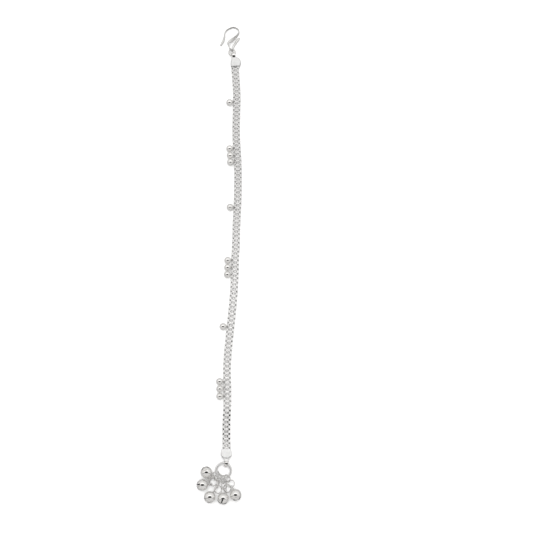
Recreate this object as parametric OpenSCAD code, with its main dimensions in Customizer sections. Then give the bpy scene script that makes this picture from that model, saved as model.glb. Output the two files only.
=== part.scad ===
// Bell anklet, lying open and straight on a floor, in millimetres.
// The origin is the middle of the footprint, on the floor. +Y points to the hook end and +Z is up.

/* [Chain] */
// Width across the two rows of box links
chain_w = 4.8; // [4.4:0.1:4.8]
// Height of one row, whose links stand on edge
chain_h = 2.4; // [2.2:0.1:2.4]
// Share of the full section that is left where a chain end is pinched inside its cap
pinch = 0.9; // [0.8:0.02:0.9]

/* [Beads] */
// Radius of each bead beside the chain
bead_r = 2.05; // [1.8:0.05:2.05]
// Radius of the short peg that points from a bead to the chain
peg_r = 0.3; // [0.2:0.05:0.35]

/* [Bells] */
// Outer radius of each bell
bell_r = 3.35; // [3.2:0.05:3.4]
// Thickness of a bell's wall
bell_wall = 0.4; // [0.3:0.05:0.5]
// Width of the crossed slots in a bell's end
slot_w = 0.7; // [0.4:0.05:0.7]
// Radius of the round hole at each end of a slot
slot_hole_r = 0.5; // [0.3:0.02:0.5]
// Distance from a bell's centre to the plane where its slots stop
slot_stop = 2.1; // [1.9:0.1:2.3]
// Distance from a bell's centre to its seam, on the slotted side
seam_drop = 1.2; // [0.8:0.1:1.3]
// Radius of the loose pellet in each bell
pellet_r = 1.0; // [0.7:0.1:1.1]

/* [Caps] */
// Height of the two end caps
cap_h = 3.3; // [3.3:0.1:3.6]
// Radius of a cap's round plate
cap_r = 3.15; // [3:0.05:3.2]
// Width of a cap's square mouth
mouth_w = 5.3; // [5.2:0.1:5.6]
// Outer radius of the barrel eye on a cap
barrel_r = 2.0; // [1.9:0.05:2]
// Radius of the bore through a barrel eye
barrel_bore_r = 1.4; // [1.35:0.05:1.5]
// Length of a barrel eye along its bore
barrel_l = 1.7; // [1.4:0.1:1.8]

/* [Rings] */
// Wire radius of the large end ring
end_wire_r = 0.75; // [0.6:0.05:0.75]
// Wire radius of the small ring on the hook
hook_ring_wire_r = 0.45; // [0.4:0.05:0.5]
// Wire radius of the jump rings and of the loops on the bells
jump_wire_r = 0.3; // [0.25:0.01:0.3]

/* [Hook] */
// Thickness of the flattened hook wire
hook_t = 0.6; // [0.5:0.05:0.7]

/* [Hidden] */
$fn = 72;

silver = [0.86, 0.86, 0.87];
satin = [0.75, 0.75, 0.77];

// The way the chain's centreline wanders over the floor.
// columns: along Y, across X
route = [
    [121.4, 7.95], [119.5, 7.75], [116, 7.8], [110, 8.3], [100, 8.8], [90, 8.7], [80, 8.5],
    [70, 8.8], [60, 9.5], [50, 9.8], [40, 9.8], [30, 9.6], [20, 9.1], [10, 8.9], [0, 8.5],
    [-10, 8.3], [-20, 7.9], [-30, 7.2], [-40, 6.3], [-50, 5.3], [-60, 4.4], [-70, 4.0],
    [-80, 4.3], [-90, 4.3], [-100, 3.9], [-110, 3.9], [-113, 4.0], [-115.1, 4.05], [-116.9, 4.05]
];
// Height of the chain's middle where the caps hold it
cap_mid = cap_h / 2;

// Where the beads sit along the chain: one, three, one, three, one, three
bead_y = [96.1, 66.3, 61.9, 57.6, 29.2, -3.7, -8.1, -12.4, -43.8, -76.3, -80.6, -84.9];
// From the chain's centreline to a bead's centre
bead_out = 4.42;
// A peg stops this far from the chain's centreline
peg_stop = 2.0;

// Centres of the two large parts of each cap and of its eye
top_mouth = [7.75, 119.7];
top_disc = [8.15, 122.8];
top_eye = [6.7, 126.9];
lower_mouth = [4.05, -115.3];
lower_disc = [4.05, -118.4];
lower_eye = [4.0, -123.7];
// Depth of the pocket that takes the chain's end, its floor thickness and its width
pocket_l = 2.2;
pocket_wall = 0.3;
pocket_w = 4.6;

// The two flat-lying rings: centre, then radius to the middle of the wire
end_at = [2.4, -127.5, 2];
end_r = 4.2;
hook_ring_at = [5.7, 129.2, 2];
hook_ring_r = 1.95;

// All jump rings have this radius to the middle of the wire.
jump_r = 2.2;
// Carrier rings hang on the end ring. Each has its own angle round it, from -Y towards +X.
carrier_at = [28, -1, -24, -43, -65];
// Their centres lie this far outside the end ring's wire and this high, and they lean by this angle.
carrier_out = 0.9;
carrier_z = 2.1;
carrier_lean = 52;
// Rings between the carriers and the bells. A ring's plane leans down towards the given direction.
// columns: x, y, z, lean from flat, direction of the low side
link_ring = [
    [-0.8, -135.4, 2.5, 80, -14],
    [2.9, -135.7, 2.1, 50, 7]
];
bell_ring = [
    [-4.7, -131.6, 2.5, 82, 133],
    [-3.3, -134.0, 2.3, 17, 138],
    [-0.6, -138.2, 2.4, 24, 17],
    [4.7, -137.6, 1.4, 12, 180],
    [6.7, -135.0, 2.9, 20, 115]
];

// The bells lie on the floor, with the loop end dipped where its ring lies low.
// columns: x, y, direction of the loop, dip of the loop end, turns of the loop and of the slots
bells = [
    [-7.3, -128.6, -74, 2, 32, 45],
    [-9.5, -135.7, 4, 13, -18, -8],
    [-5.2, -142.5, 54, 0, 0, 45],
    [2.4, -143.3, 72, 25, 0, 0],
    [9.5, -141.3, 112, -4, 0, 45]
];
// Loop of a bell: distance of its centre from the bell's centre, radius to the middle of the wire
loop_out = 4.6;
loop_r = 1.0;
// Solder foot between a bell and its loop
foot_r = 0.45;
// Clear space between a pellet and the wall it lies on
pellet_gap = 0.05;

// One flattened wire makes the hook. It runs from the free tip round the bight, down the broad
// arm to the eye that holds the hook ring, and back up the short second arm.
// columns: x, y, z, width of the strip, lean of the strip from upright
hook_way = [
    [-1.5, 133.9, 1.0, 1.2, 45],
    [-0.5, 136.0, 1.0, 1.8, 50],
    [0.3, 137.9, 1.0, 1.9, 40],
    [0.8, 140.5, 0.9, 1.7, 15],
    [1.1, 142.6, 0.85, 1.6, 3],
    [2.2, 144.3, 0.85, 1.6, 0],
    [4.0, 145.5, 0.85, 1.6, 0],
    [6.4, 146.3, 0.85, 1.6, 0],
    [8.1, 145.8, 0.85, 1.6, 0],
    [9.4, 144.8, 0.85, 1.6, 0],
    [9.9, 143.3, 0.9, 1.7, 0],
    [9.6, 141.9, 1.0, 1.8, 5],
    [8.6, 140.4, 1.3, 1.9, 18],
    [6.9, 138.4, 1.8, 2.1, 45],
    [4.9, 136.6, 2.4, 2.2, 70],
    [3.5, 135.4, 2.8, 1.5, 72],
    [3.3, 134.2, 2.9, 1.0, 65],
    [3.8, 132.8, 3.1, 0.9, 80],
    [4.3, 131.3, 3.2, 0.8, 85],
    [5.0, 130.4, 2.7, 0.8, 85],
    [5.6, 130.0, 2.0, 0.8, 85],
    [6.0, 130.4, 1.3, 0.8, 85],
    [6.1, 131.3, 0.8, 0.9, 85],
    [6.3, 132.8, 0.8, 1.2, 72],
    [7.2, 134.8, 0.8, 1.6, 62],
    [8.8, 137.2, 0.9, 1.8, 60],
    [10.2, 139.1, 0.9, 1.5, 58]
];
// Steps the strip takes between two rows of the table
hook_steps = 3;
// Chamfer on the strip's edges
hook_edge = 0.15;

// Slope of column c of a table at row i, against its column k
function slope(t, i, c, k) =
    let (a = max(i - 1, 0), b = min(i + 1, len(t) - 1))
    (t[b][c] - t[a][c]) / (t[b][k] - t[a][k]);

// Smooth curve through two end values and two end slopes, over a span h, at share u
function hermite(p, q, m, n, h, u) =
    p * (1 + 2 * u) * (1 - u) * (1 - u)
    + q * u * u * (3 - 2 * u)
    + m * h * u * (1 - u) * (1 - u)
    - n * h * u * u * (1 - u);

// Row of the route whose stretch holds y
function route_row(y, i = 0) =
    i >= len(route) - 2 || y >= route[i + 1][0] ? i : route_row(y, i + 1);

// X of the chain's centreline at y
function chain_x(y) =
    let (i = route_row(y), h = route[i + 1][0] - route[i][0])
    hermite(route[i][1], route[i + 1][1], slope(route, i, 1, 0), slope(route, i + 1, 1, 0),
        h, (y - route[i][0]) / h);

// Half the tube's rings are in the caps' last millimetres, where the section changes.
chain_stations = concat([121.4, 119.6, 116.5], [for (y = [112:-4:-108]) y], [-112, -115.2, -116.9]);
function in_cap(y) = y > 119 || y < -115;

// The section is two squares on edge, side by side: across, up
chain_section = [[-1, 0], [-0.5, 1], [0, 0.4], [0.5, 1], [1, 0], [0.5, -1], [0, -0.4], [-0.5, -1]];

function chain_ring(y) =
    let (
        k = in_cap(y) ? pinch : 1,
        mid = in_cap(y) ? cap_mid : chain_h / 2,
        turn = atan(chain_x(y - 0.5) - chain_x(y + 0.5))
    )
    [for (s = chain_section)
        [
            chain_x(y) + s[0] * k * chain_w / 2 * cos(turn),
            y + s[0] * k * chain_w / 2 * sin(turn),
            mid + s[1] * k * chain_h / 2
        ]];

// Closed tube through a list of rings that all have the same number of points
module tube(rings) {
    n = len(rings[0]);
    last = len(rings) - 1;
    sides = [for (i = [0:last - 1], j = [0:n - 1])
        [i * n + j, i * n + (j + 1) % n, (i + 1) * n + (j + 1) % n, (i + 1) * n + j]];
    halves = [for (f = sides) each [[f[0], f[1], f[2]], [f[0], f[2], f[3]]]];
    start = [for (j = [n - 1:-1:0]) j];
    end = [for (j = [0:n - 1]) last * n + j];
    polyhedron(points = [for (r = rings) each r], faces = concat([start], halves, [end]));
}

module chain() {
    color(silver)
        tube([for (y = chain_stations) chain_ring(y)]);
}

module bead(i) {
    y = bead_y[i];
    x = chain_x(y) - bead_out;
    color(silver)
        translate([x, y, bead_r])
            union() {
                sphere(r = bead_r);
                rotate([0, 90, 0])
                    cylinder(r = peg_r, h = bead_out - peg_stop);
            }
}

// Straight bar between two plan points, as wide as w
module bar(a, b, w) {
    d = b - a;
    translate(a)
        rotate(atan2(d[1], d[0]))
            translate([0, -w / 2])
                square([norm(d), w]);
}

// A cap takes the chain's end in its mouth and a ring in its barrel eye.
module cap(mouth, disc, eye, ring) {
    inward = disc - mouth;
    neck_w = 2.2;
    away = atan2(eye[1] - ring[1], eye[0] - ring[0]);
    color(satin)
        difference() {
            union() {
                linear_extrude(cap_h)
                    union() {
                        translate(disc)
                            circle(r = cap_r);
                        bar(mouth, disc, mouth_w);
                        bar(disc, eye, neck_w);
                    }
                translate([eye[0], eye[1], barrel_r])
                    rotate([90, 0, away])
                        cylinder(r = barrel_r, h = barrel_l, center = true);
            }
            translate([mouth[0], mouth[1], pocket_wall])
                rotate(atan2(inward[1], inward[0]))
                    translate([-1, -pocket_w / 2, 0])
                        cube([pocket_l + 1, pocket_w, cap_h - 2 * pocket_wall]);
            translate([eye[0], eye[1], barrel_r])
                rotate([90, 0, away])
                    cylinder(r = barrel_bore_r, h = 3 * barrel_l, center = true);
        }
}

// Ring of round wire. Its plane leans down towards the direction low.
module ring(at, r, wire_r, lean = 0, low = 0) {
    color(silver)
        translate(at)
            rotate([0, lean, low])
                rotate_extrude()
                    translate([r, 0])
                        circle(r = wire_r, $fn = 32);
}

module carrier(i) {
    a = carrier_at[i];
    out = end_r + carrier_out;
    at = [end_at[0] + out * sin(a), end_at[1] - out * cos(a), carrier_z];
    ring(at, jump_r, jump_wire_r, carrier_lean, 180 + a);
}

module table_ring(row) {
    ring([row[0], row[1], row[2]], jump_r, jump_wire_r, row[3], row[4]);
}

// A bell in its own frame: loop towards +Z, crossed slots at the -Z end
module bell(row) {
    color(silver)
        translate([row[0], row[1], bell_r])
            rotate([0, 90 + row[3], row[2]])
                union() {
                    rotate(row[5])
                        bell_shell();
                    translate([0, 0, bell_r - bell_wall + 0.1])
                        cylinder(r = foot_r, h = loop_out - loop_r - bell_r + bell_wall, $fn = 32);
                    rotate(row[4])
                        translate([0, 0, loop_out])
                            rotate([90, 0, 0])
                                rotate_extrude($fn = 48)
                                    translate([loop_r, 0])
                                        circle(r = jump_wire_r, $fn = 32);
                }
}

module bell_shell() {
    seam_r = sqrt(bell_r * bell_r - seam_drop * seam_drop);
    seam_w = 0.2;
    seam_depth = 0.12;
    hole_out = asin(slot_stop / (bell_r - bell_wall / 2));
    difference() {
        sphere(r = bell_r);
        sphere(r = bell_r - bell_wall);
        rotate_extrude()
            translate([seam_r - seam_depth, -seam_drop - seam_w / 2])
                square([1, seam_w]);
        for (a = [0, 90])
            rotate(a)
                translate([-bell_r - 1, -slot_w / 2, -bell_r - 1])
                    cube([2 * bell_r + 2, slot_w, bell_r + 1 - slot_stop]);
        for (a = [0:90:270])
            rotate([0, 90 + hole_out, a])
                cylinder(r = slot_hole_r, h = bell_r + 1, $fn = 24);
    }
}

module pellet(row) {
    color(satin)
        translate([row[0], row[1], bell_wall + pellet_gap + pellet_r])
            sphere(r = pellet_r, $fn = 36);
}

// Points of the hook's way at step k, all columns smoothed together
function hook_row(k) =
    let (
        i = min(floor(k / hook_steps), len(hook_way) - 2),
        u = k / hook_steps - i,
        p = hook_way[i],
        q = hook_way[i + 1],
        before = hook_way[max(i - 1, 0)],
        after = hook_way[min(i + 2, len(hook_way) - 1)]
    )
    hermite(p, q, (q - before) / 2, (after - p) / 2, 1, u);

function spot(row) = [row[0], row[1], row[2]];
function unit(v) = v / norm(v);

function hook_ring_points(k) =
    let (
        row = hook_row(k),
        total = hook_steps * (len(hook_way) - 1),
        along = unit(spot(hook_row(min(k + 1, total))) - spot(hook_row(max(k - 1, 0)))),
        side = unit(cross(along, [0, 0, 1])),
        up = cross(side, along),
        wide = cos(row[4]) * up + sin(row[4]) * side,
        thin = cross(along, wide),
        w = row[3] / 2,
        t = hook_t / 2,
        e = hook_edge
    )
    [for (c = [[w, t - e], [w - e, t], [e - w, t], [-w, t - e], [-w, e - t], [e - w, -t], [w - e, -t], [w, e - t]])
        spot(row) + c[0] * wide + c[1] * thin];

module hook() {
    color(silver)
        tube([for (k = [0:hook_steps * (len(hook_way) - 1)]) hook_ring_points(k)]);
}

hook();
ring(hook_ring_at, hook_ring_r, hook_ring_wire_r);  // hook_ring
cap(top_mouth, top_disc, top_eye, hook_ring_at);  // top_cap
chain();
cap(lower_mouth, lower_disc, lower_eye, end_at);  // lower_cap
bead(0);  // bead_01
bead(1);  // bead_02
bead(2);  // bead_03
bead(3);  // bead_04
bead(4);  // bead_05
bead(5);  // bead_06
bead(6);  // bead_07
bead(7);  // bead_08
bead(8);  // bead_09
bead(9);  // bead_10
bead(10);  // bead_11
bead(11);  // bead_12
ring(end_at, end_r, end_wire_r);  // end_ring
carrier(0);  // carrier_ring_1
carrier(1);  // carrier_ring_2
carrier(2);  // carrier_ring_3
carrier(3);  // carrier_ring_4
carrier(4);  // carrier_ring_5
table_ring(link_ring[0]);  // link_ring_1
table_ring(link_ring[1]);  // link_ring_2
table_ring(bell_ring[0]);  // bell_ring_1
table_ring(bell_ring[1]);  // bell_ring_2
table_ring(bell_ring[2]);  // bell_ring_3
table_ring(bell_ring[3]);  // bell_ring_4
table_ring(bell_ring[4]);  // bell_ring_5
bell(bells[0]);  // bell_1
bell(bells[1]);  // bell_2
bell(bells[2]);  // bell_3
bell(bells[3]);  // bell_4
bell(bells[4]);  // bell_5
pellet(bells[0]);  // pellet_1
pellet(bells[1]);  // pellet_2
pellet(bells[2]);  // pellet_3
pellet(bells[3]);  // pellet_4
pellet(bells[4]);  // pellet_5
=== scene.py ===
# %% [markdown]
# # A silver bell anklet
# The anklet lies open and straight on a pale table. A flat double row of box links joins a bent
# wire hook at one end to a bunch of five round bells at the other. Small beads stand beside the
# chain, one and three by turns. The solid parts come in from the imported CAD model, and every
# piece that shows is then made again here with finer shape and a silver finish.

# %% Load the fixed frame
import math
import bmesh
import bpy
from mathutils import Euler, Matrix, Vector


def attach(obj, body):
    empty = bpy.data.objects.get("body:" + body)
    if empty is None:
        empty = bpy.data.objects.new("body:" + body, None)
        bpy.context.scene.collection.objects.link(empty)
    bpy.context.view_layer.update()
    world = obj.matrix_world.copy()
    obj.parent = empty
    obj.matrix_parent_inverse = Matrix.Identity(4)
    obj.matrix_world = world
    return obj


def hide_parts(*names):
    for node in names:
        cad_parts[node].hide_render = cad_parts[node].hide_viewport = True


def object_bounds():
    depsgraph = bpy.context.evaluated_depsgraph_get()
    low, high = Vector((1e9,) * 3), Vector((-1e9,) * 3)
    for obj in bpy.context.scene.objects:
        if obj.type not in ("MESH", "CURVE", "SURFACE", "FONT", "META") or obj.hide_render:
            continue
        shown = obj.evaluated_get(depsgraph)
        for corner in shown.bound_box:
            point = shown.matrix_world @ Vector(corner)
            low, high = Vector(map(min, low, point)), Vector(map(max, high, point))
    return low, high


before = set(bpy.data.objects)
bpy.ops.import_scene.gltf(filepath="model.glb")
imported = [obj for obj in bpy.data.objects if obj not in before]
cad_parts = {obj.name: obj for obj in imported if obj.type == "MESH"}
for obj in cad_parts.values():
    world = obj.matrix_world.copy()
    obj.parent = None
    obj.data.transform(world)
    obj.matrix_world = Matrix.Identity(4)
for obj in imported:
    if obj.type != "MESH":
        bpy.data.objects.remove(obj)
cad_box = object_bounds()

MM = 0.001
cad_size = [round((hi - lo) * 1000, 2) for lo, hi in zip(*cad_box)]
print("nodes in the frame:", len(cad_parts), "| size in mm:", cad_size)

# %% [markdown]
# ## Camera
# A photographer held the camera 66 cm above the table and leaned it 12 degrees, so the bells are
# a little nearer to the lens than the hook. A camera needs a place, a turn and a lens. The lens
# here is long, because the far end of the anklet shrinks by only a tenth.

# %% Place the camera
into_scene = bpy.context.scene.collection.objects.link
CAMERA_LEAN = math.radians(12.0)
CAMERA_DISTANCE = 0.660
AIM = Vector((0.0272, -0.0071, 0.0))

lens = bpy.data.cameras.new("table_camera")
lens.sensor_width = 36.0
lens.lens = 74.3
camera = bpy.data.objects.new("table_camera", lens)
camera.location = AIM + CAMERA_DISTANCE * Vector((0, -math.sin(CAMERA_LEAN), math.cos(CAMERA_LEAN)))
camera.rotation_euler = (CAMERA_LEAN, 0, 0)
into_scene(camera)
bpy.context.scene.camera = camera
print("camera at", [round(c, 3) for c in camera.location])

# %% [markdown]
# ## Table
# The anklet lies on a plain white table top. Polished metal would mirror that white so well that
# its edges vanish, so a jeweller's photographer slips a grey card under the piece: the card is
# what the metal reflects, and the eye still sees the white table. Ray visibility switches on the
# two planes do the same here, so each can have its own grey.

# %% Lay the table top and the grey card
def matt_paint(name, colour, roughness):
    """A paint without any gloss."""
    paint = bpy.data.materials.new(name)
    paint.use_nodes = True
    shader = paint.node_tree.nodes["Principled BSDF"]
    shader.inputs["Base Color"].default_value = (*colour, 1)
    shader.inputs["Roughness"].default_value = roughness
    shader.inputs["Specular IOR Level"].default_value = 0.0
    return paint


def flat_sheet(name, outline, height, paint):
    """A sheet of one face, put on the stage."""
    mesh = bpy.data.meshes.new(name)
    mesh.from_pydata(outline, [], [tuple(range(len(outline)))])
    mesh.materials.append(paint)
    sheet = bpy.data.objects.new(name, mesh)
    sheet.location.z = height
    into_scene(sheet)
    return sheet


def square(half):
    return [(x * half, y * half, 0) for x, y in ((-1, -1), (1, -1), (1, 1), (-1, 1))]


def hide_from(thing, *rays):
    for ray in rays:
        setattr(thing, "visible_" + ray, False)


# both lie a hair below the floor, so that no face of the anklet lies in the same plane
TABLE_HALF, TABLE_Z, TABLE_COLOUR = 3.0, -0.00003, (0.92, 0.92, 0.92)
CARD_HALF, CARD_Z, CARD_COLOUR = 0.8, -0.00004, (0.90, 0.90, 0.90)

table_paint = matt_paint("table_paint", TABLE_COLOUR, 0.8)
card_paint = matt_paint("card_paint", CARD_COLOUR, 0.8)
table_top = flat_sheet("table_top", square(TABLE_HALF), TABLE_Z, table_paint)
hide_from(table_top, "glossy")
grey_card = flat_sheet("grey_card", square(CARD_HALF), CARD_Z, card_paint)
hide_from(grey_card, "camera", "diffuse", "shadow")
print("table top and grey card laid")

# %% [markdown]
# ## Light
# Silver has no colour of its own to show: it shows the room. The room here is a white tent,
# bright at the hook's end and grey at the bells' end, with a dark seam between. A world shader
# can paint such a tent by direction, which keeps every shadow soft. A black card round the lens
# gives each ball its dark dot, and a wide lamp that metal can't mirror lights the table.

# %% Helpers for node trees
def node_in(tree, kind, inputs=None, **settings):
    """A new node. Each input that is named gets a value, or is joined to another node's output."""
    node = tree.nodes.new(kind)
    for key, value in settings.items():
        setattr(node, key, value)
    for label, value in (inputs or {}).items():
        if isinstance(value, bpy.types.NodeSocket):
            tree.links.new(value, node.inputs[label])
        else:
            node.inputs[label].default_value = value
    return node


def math_node(tree, operation, *values):
    return node_in(tree, "ShaderNodeMath", dict(enumerate(values)), operation=operation).outputs[0]


def ramp_between(tree, value, low, high, out_low=0.0, out_high=1.0):
    """Smooth step from out_low to out_high, as a value climbs from low to high."""
    numbers = dict(enumerate((value, low, high, out_low, out_high)))
    return node_in(tree, "ShaderNodeMapRange", numbers, interpolation_type="SMOOTHSTEP").outputs[0]


# %% Paint the tent
# how bright the tent is: its back high up and low down, its front, and the plain backdrop
BACK_HIGH, BACK_LOW, FRONT_LEVEL, BACKDROP = 1.40, 0.83, 0.73, 0.97
BACK_CLIMB = (0.56, 0.95)
# the seam between front and back: where it lies, how dark it is, how far its two sides hang
HALVES_MEET = (-0.02, 0.06)
SEAM_AT, SEAM_EDGE, SEAM_DARK, SEAM_DROOP = -0.03, (0.03, 0.08), 0.18, 0.34
HORIZON_LEVEL, HORIZON_RISE = 0.95, (-0.05, 0.30)

tent = bpy.data.worlds.new("white_tent")
tent.use_nodes = True
bpy.context.scene.world = tent
tree = tent.node_tree
tree.nodes.clear()
way = node_in(tree, "ShaderNodeTexCoord").outputs["Generated"]
across, along, up = node_in(tree, "ShaderNodeSeparateXYZ", {0: way}).outputs
back = ramp_between(tree, up, *BACK_CLIMB, BACK_LOW, BACK_HIGH)
droop = math_node(tree, "MULTIPLY", math_node(tree, "ABSOLUTE", across), SEAM_DROOP)
past_seam = math_node(tree, "ADD", along, droop)
halves = ramp_between(tree, past_seam, *HALVES_MEET, FRONT_LEVEL, back)
off_seam = math_node(tree, "ABSOLUTE", math_node(tree, "SUBTRACT", past_seam, SEAM_AT))
seam = ramp_between(tree, off_seam, *SEAM_EDGE, SEAM_DARK, 1.0)
low = ramp_between(tree, up, *HORIZON_RISE, HORIZON_LEVEL, 1.0)
level = math_node(tree, "MULTIPLY", math_node(tree, "MULTIPLY", halves, seam), low)

# the camera sees a plain backdrop, and everything else sees the tent
glow = node_in(tree, "ShaderNodeBackground", {"Color": (1.0, 0.995, 0.985, 1), "Strength": level})
plain = node_in(tree, "ShaderNodeBackground", {"Color": (BACKDROP, BACKDROP, BACKDROP, 1)})
by_camera = node_in(tree, "ShaderNodeLightPath").outputs["Is Camera Ray"]
either = node_in(tree, "ShaderNodeMixShader", {
    0: by_camera, 1: glow.outputs[0], 2: plain.outputs[0]})
node_in(tree, "ShaderNodeOutputWorld", {"Surface": either.outputs[0]})

view = bpy.context.scene.view_settings
view.view_transform = "Standard"
view.look = "None"
view.exposure = 0.0
view.gamma = 1.0
print("tent painted, from", FRONT_LEVEL, "to", BACK_HIGH)

# %% Hang the black card and the table lamp
def turns(count):
    """Angles spaced evenly round a circle."""
    return [2 * math.pi * k / count for k in range(count)]


CARD_LONG, CARD_HIGH = 0.95, 0.45
oval = [(math.cos(a) * CARD_LONG / 2, math.sin(a) * CARD_HIGH / 2, 0) for a in turns(24)]
lens_card = flat_sheet("lens_card", oval, 0, matt_paint("card_black", (0.01, 0.01, 0.01), 0.5))
lens_card.location = camera.location
hide_from(lens_card, "camera", "diffuse", "shadow", "transmission")

lamp = bpy.data.lights.new("table_lamp", "AREA")
lamp.shape = "DISK"
lamp.size = 1.6
lamp.energy = 16.0
table_lamp = bpy.data.objects.new("table_lamp", lamp)
table_lamp.location = (0.0, 0.1, 1.4)
hide_from(table_lamp, "glossy")
into_scene(table_lamp)
print("lens card", CARD_LONG, "by", CARD_HIGH, "m, lamp", lamp.energy, "W")

# %% [markdown]
# ## Silver
# Worn silver is never quite one finish. Fine hairlines run over it, and tarnish lies on it in
# patches; hollows and rims are painted darker with it, as painted shade. Both effects are node
# groups, made once and used by each silver below with its own strength, so the finishes stay
# related as they do on one piece of jewellery.

# %% Group: hairlines and haze
def group_with(name, inputs, outputs):
    """An empty shader node group with named sockets, and its two end nodes."""
    group = bpy.data.node_groups.new(name, "ShaderNodeTree")
    for label, kind, value in inputs:
        socket = group.interface.new_socket(label, in_out="INPUT", socket_type=kind)
        if value is not None:
            socket.default_value = value
    for label, kind in outputs:
        group.interface.new_socket(label, in_out="OUTPUT", socket_type=kind)
    first, last = group.nodes.new("NodeGroupInput"), group.nodes.new("NodeGroupOutput")
    return group, first.outputs, last.inputs


def noise(tree, place, scale, detail, rough=0.5):
    return node_in(tree, "ShaderNodeTexNoise", {
        "Vector": place, "Scale": scale, "Detail": detail, "Roughness": rough}).outputs[0]


# how fine the hairlines are along x, y and z, and how fine the haze is, in waves a metre
HAIR_FINE, HAZE_FINE = (9000, 1200, 4000), 900.0

hairlines, given, wanted = group_with(
    "hairlines_and_haze",
    [("Place", "NodeSocketVector", None), ("Haze", "NodeSocketFloat", 0.1),
     ("Polish", "NodeSocketFloat", 0.12)],
    [("Roughness", "NodeSocketFloat"), ("Height", "NodeSocketFloat")])
stretch = node_in(hairlines, "ShaderNodeVectorMath", {
    0: given["Place"], 1: HAIR_FINE}, operation="MULTIPLY")
cloud = noise(hairlines, given["Place"], HAZE_FINE, 3.0)
haze = math_node(hairlines, "MULTIPLY", cloud, given["Haze"])
hairlines.links.new(math_node(hairlines, "ADD", haze, given["Polish"]), wanted["Roughness"])
hairlines.links.new(noise(hairlines, stretch.outputs[0], 1.0, 2.0), wanted["Height"])
print("group made:", hairlines.name)

# %% Group: tarnish in patches, and painted shade
# how fine the patches are, and the noise levels where a patch begins and where it is full
PATCH_FINE, PATCH_EDGE = 420.0, (0.42, 0.72)

tarnish, given, wanted = group_with(
    "tarnish",
    [("Place", "NodeSocketVector", None), ("Clean", "NodeSocketColor", (0.9, 0.89, 0.87, 1)),
     ("Dull", "NodeSocketColor", (0.55, 0.54, 0.52, 1)), ("Amount", "NodeSocketFloat", 0.3),
     ("Painted darkening", "NodeSocketFloat", 0.0)],
    [("Colour", "NodeSocketColor")])
patch = ramp_between(tarnish, noise(tarnish, given["Place"], PATCH_FINE, 4.0, 0.6), *PATCH_EDGE)
spots = math_node(tarnish, "MULTIPLY", patch, given["Amount"])
mix = node_in(tarnish, "ShaderNodeMix", {
    "Factor": math_node(tarnish, "MAXIMUM", spots, given["Painted darkening"]),
    "A": given["Clean"], "B": given["Dull"]}, data_type="RGBA")
tarnish.links.new(mix.outputs["Result"], wanted["Colour"])
print("group made:", tarnish.name)

# %% Silver finishes
def silver(name, clean, dull, amount, polish, haze, bump, hollow=None, metal=1.0):
    """A silver with patches of tarnish, a cloudy polish and fine hairlines. The attribute named by
    hollow says how much darker each place is painted: painted shade in hollows and on rims, and
    the links' even darkening towards the hook. Metal below 1 gives a paler, chalky silver."""
    finish = bpy.data.materials.new(name)
    finish.use_nodes = True
    tree = finish.node_tree
    shader = tree.nodes["Principled BSDF"].inputs
    shader["Metallic"].default_value = metal
    place = node_in(tree, "ShaderNodeTexCoord").outputs["Object"]
    wear = node_in(tree, "ShaderNodeGroup", {"Place": place, "Haze": haze, "Polish": polish},
                   node_tree=hairlines).outputs
    stain_and_shade = node_in(tree, "ShaderNodeGroup", {
        "Place": place, "Clean": (*clean, 1), "Dull": (*dull, 1), "Amount": amount
    }, node_tree=tarnish)
    if hollow:
        painted_darkening = node_in(tree, "ShaderNodeAttribute", attribute_name=hollow)
        tree.links.new(painted_darkening.outputs["Fac"], stain_and_shade.inputs["Painted darkening"])
    ripple = node_in(tree, "ShaderNodeBump", {
        "Strength": bump, "Distance": 0.00002, "Height": wear["Height"]})
    tree.links.new(stain_and_shade.outputs["Colour"], shader["Base Color"])
    tree.links.new(wear["Roughness"], shader["Roughness"])
    tree.links.new(ripple.outputs["Normal"], shader["Normal"])
    return finish


BRIGHT, BLACK = (0.90, 0.89, 0.875), (0.03, 0.03, 0.03)
DULL, PALE_DULL, CAST_DULL = (0.50, 0.49, 0.47), (0.60, 0.59, 0.58), (0.25, 0.25, 0.25)
# columns: clean colour, dull colour, amount of tarnish, roughness, haze, depth of the hairlines
# the links' hollows are painted towards black, as painted shade
link_silver = silver("link_silver", (0.90, 0.895, 0.89), BLACK, 0.05, 0.10, 0.12, 0.15,
                     hollow="inside", metal=0.58)
wire_silver = silver("wire_silver", (0.80, 0.79, 0.78), DULL, 0.30, 0.20, 0.12, 0.20)
hook_silver = silver("hook_silver", (0.62, 0.615, 0.605), (0.4, 0.39, 0.38), 0.35, 0.12, 0.14, 0.25)
blade_silver = silver("blade_silver", (0.92, 0.915, 0.90), PALE_DULL, 0.25, 0.20, 0.12, 0.20,
                      metal=0.8)
bead_silver = silver("bead_silver", BRIGHT, DULL, 0.20, 0.03, 0.05, 0.10)
cast_silver = silver("cast_silver", (0.71, 0.71, 0.707), CAST_DULL, 0.14, 0.40, 0.20, 0.5,
                     hollow="rim", metal=0.75)
pale_cast_silver = silver("pale_cast_silver", (0.87, 0.87, 0.866), CAST_DULL, 0.14, 0.50, 0.20, 0.5,
                          hollow="rim", metal=0.60)
eye_silver = silver("eye_silver", BRIGHT, DULL, 0.30, 0.02, 0.04, 0.10)
ring_silver = silver("ring_silver", (0.86, 0.855, 0.85), PALE_DULL, 0.30, 0.24, 0.12, 0.20,
                     metal=0.85)
solder_silver = silver("solder_silver", (0.42, 0.41, 0.40), (0.20, 0.19, 0.18), 0.40, 0.25, 0.20,
                       0.30)
bell_silver = silver("bell_silver", BRIGHT, DULL, 0.20, 0.02, 0.04, 0.10)
petal_silver = silver("petal_silver", BRIGHT, DULL, 0.30, 0.02, 0.05, 0.10)
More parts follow.
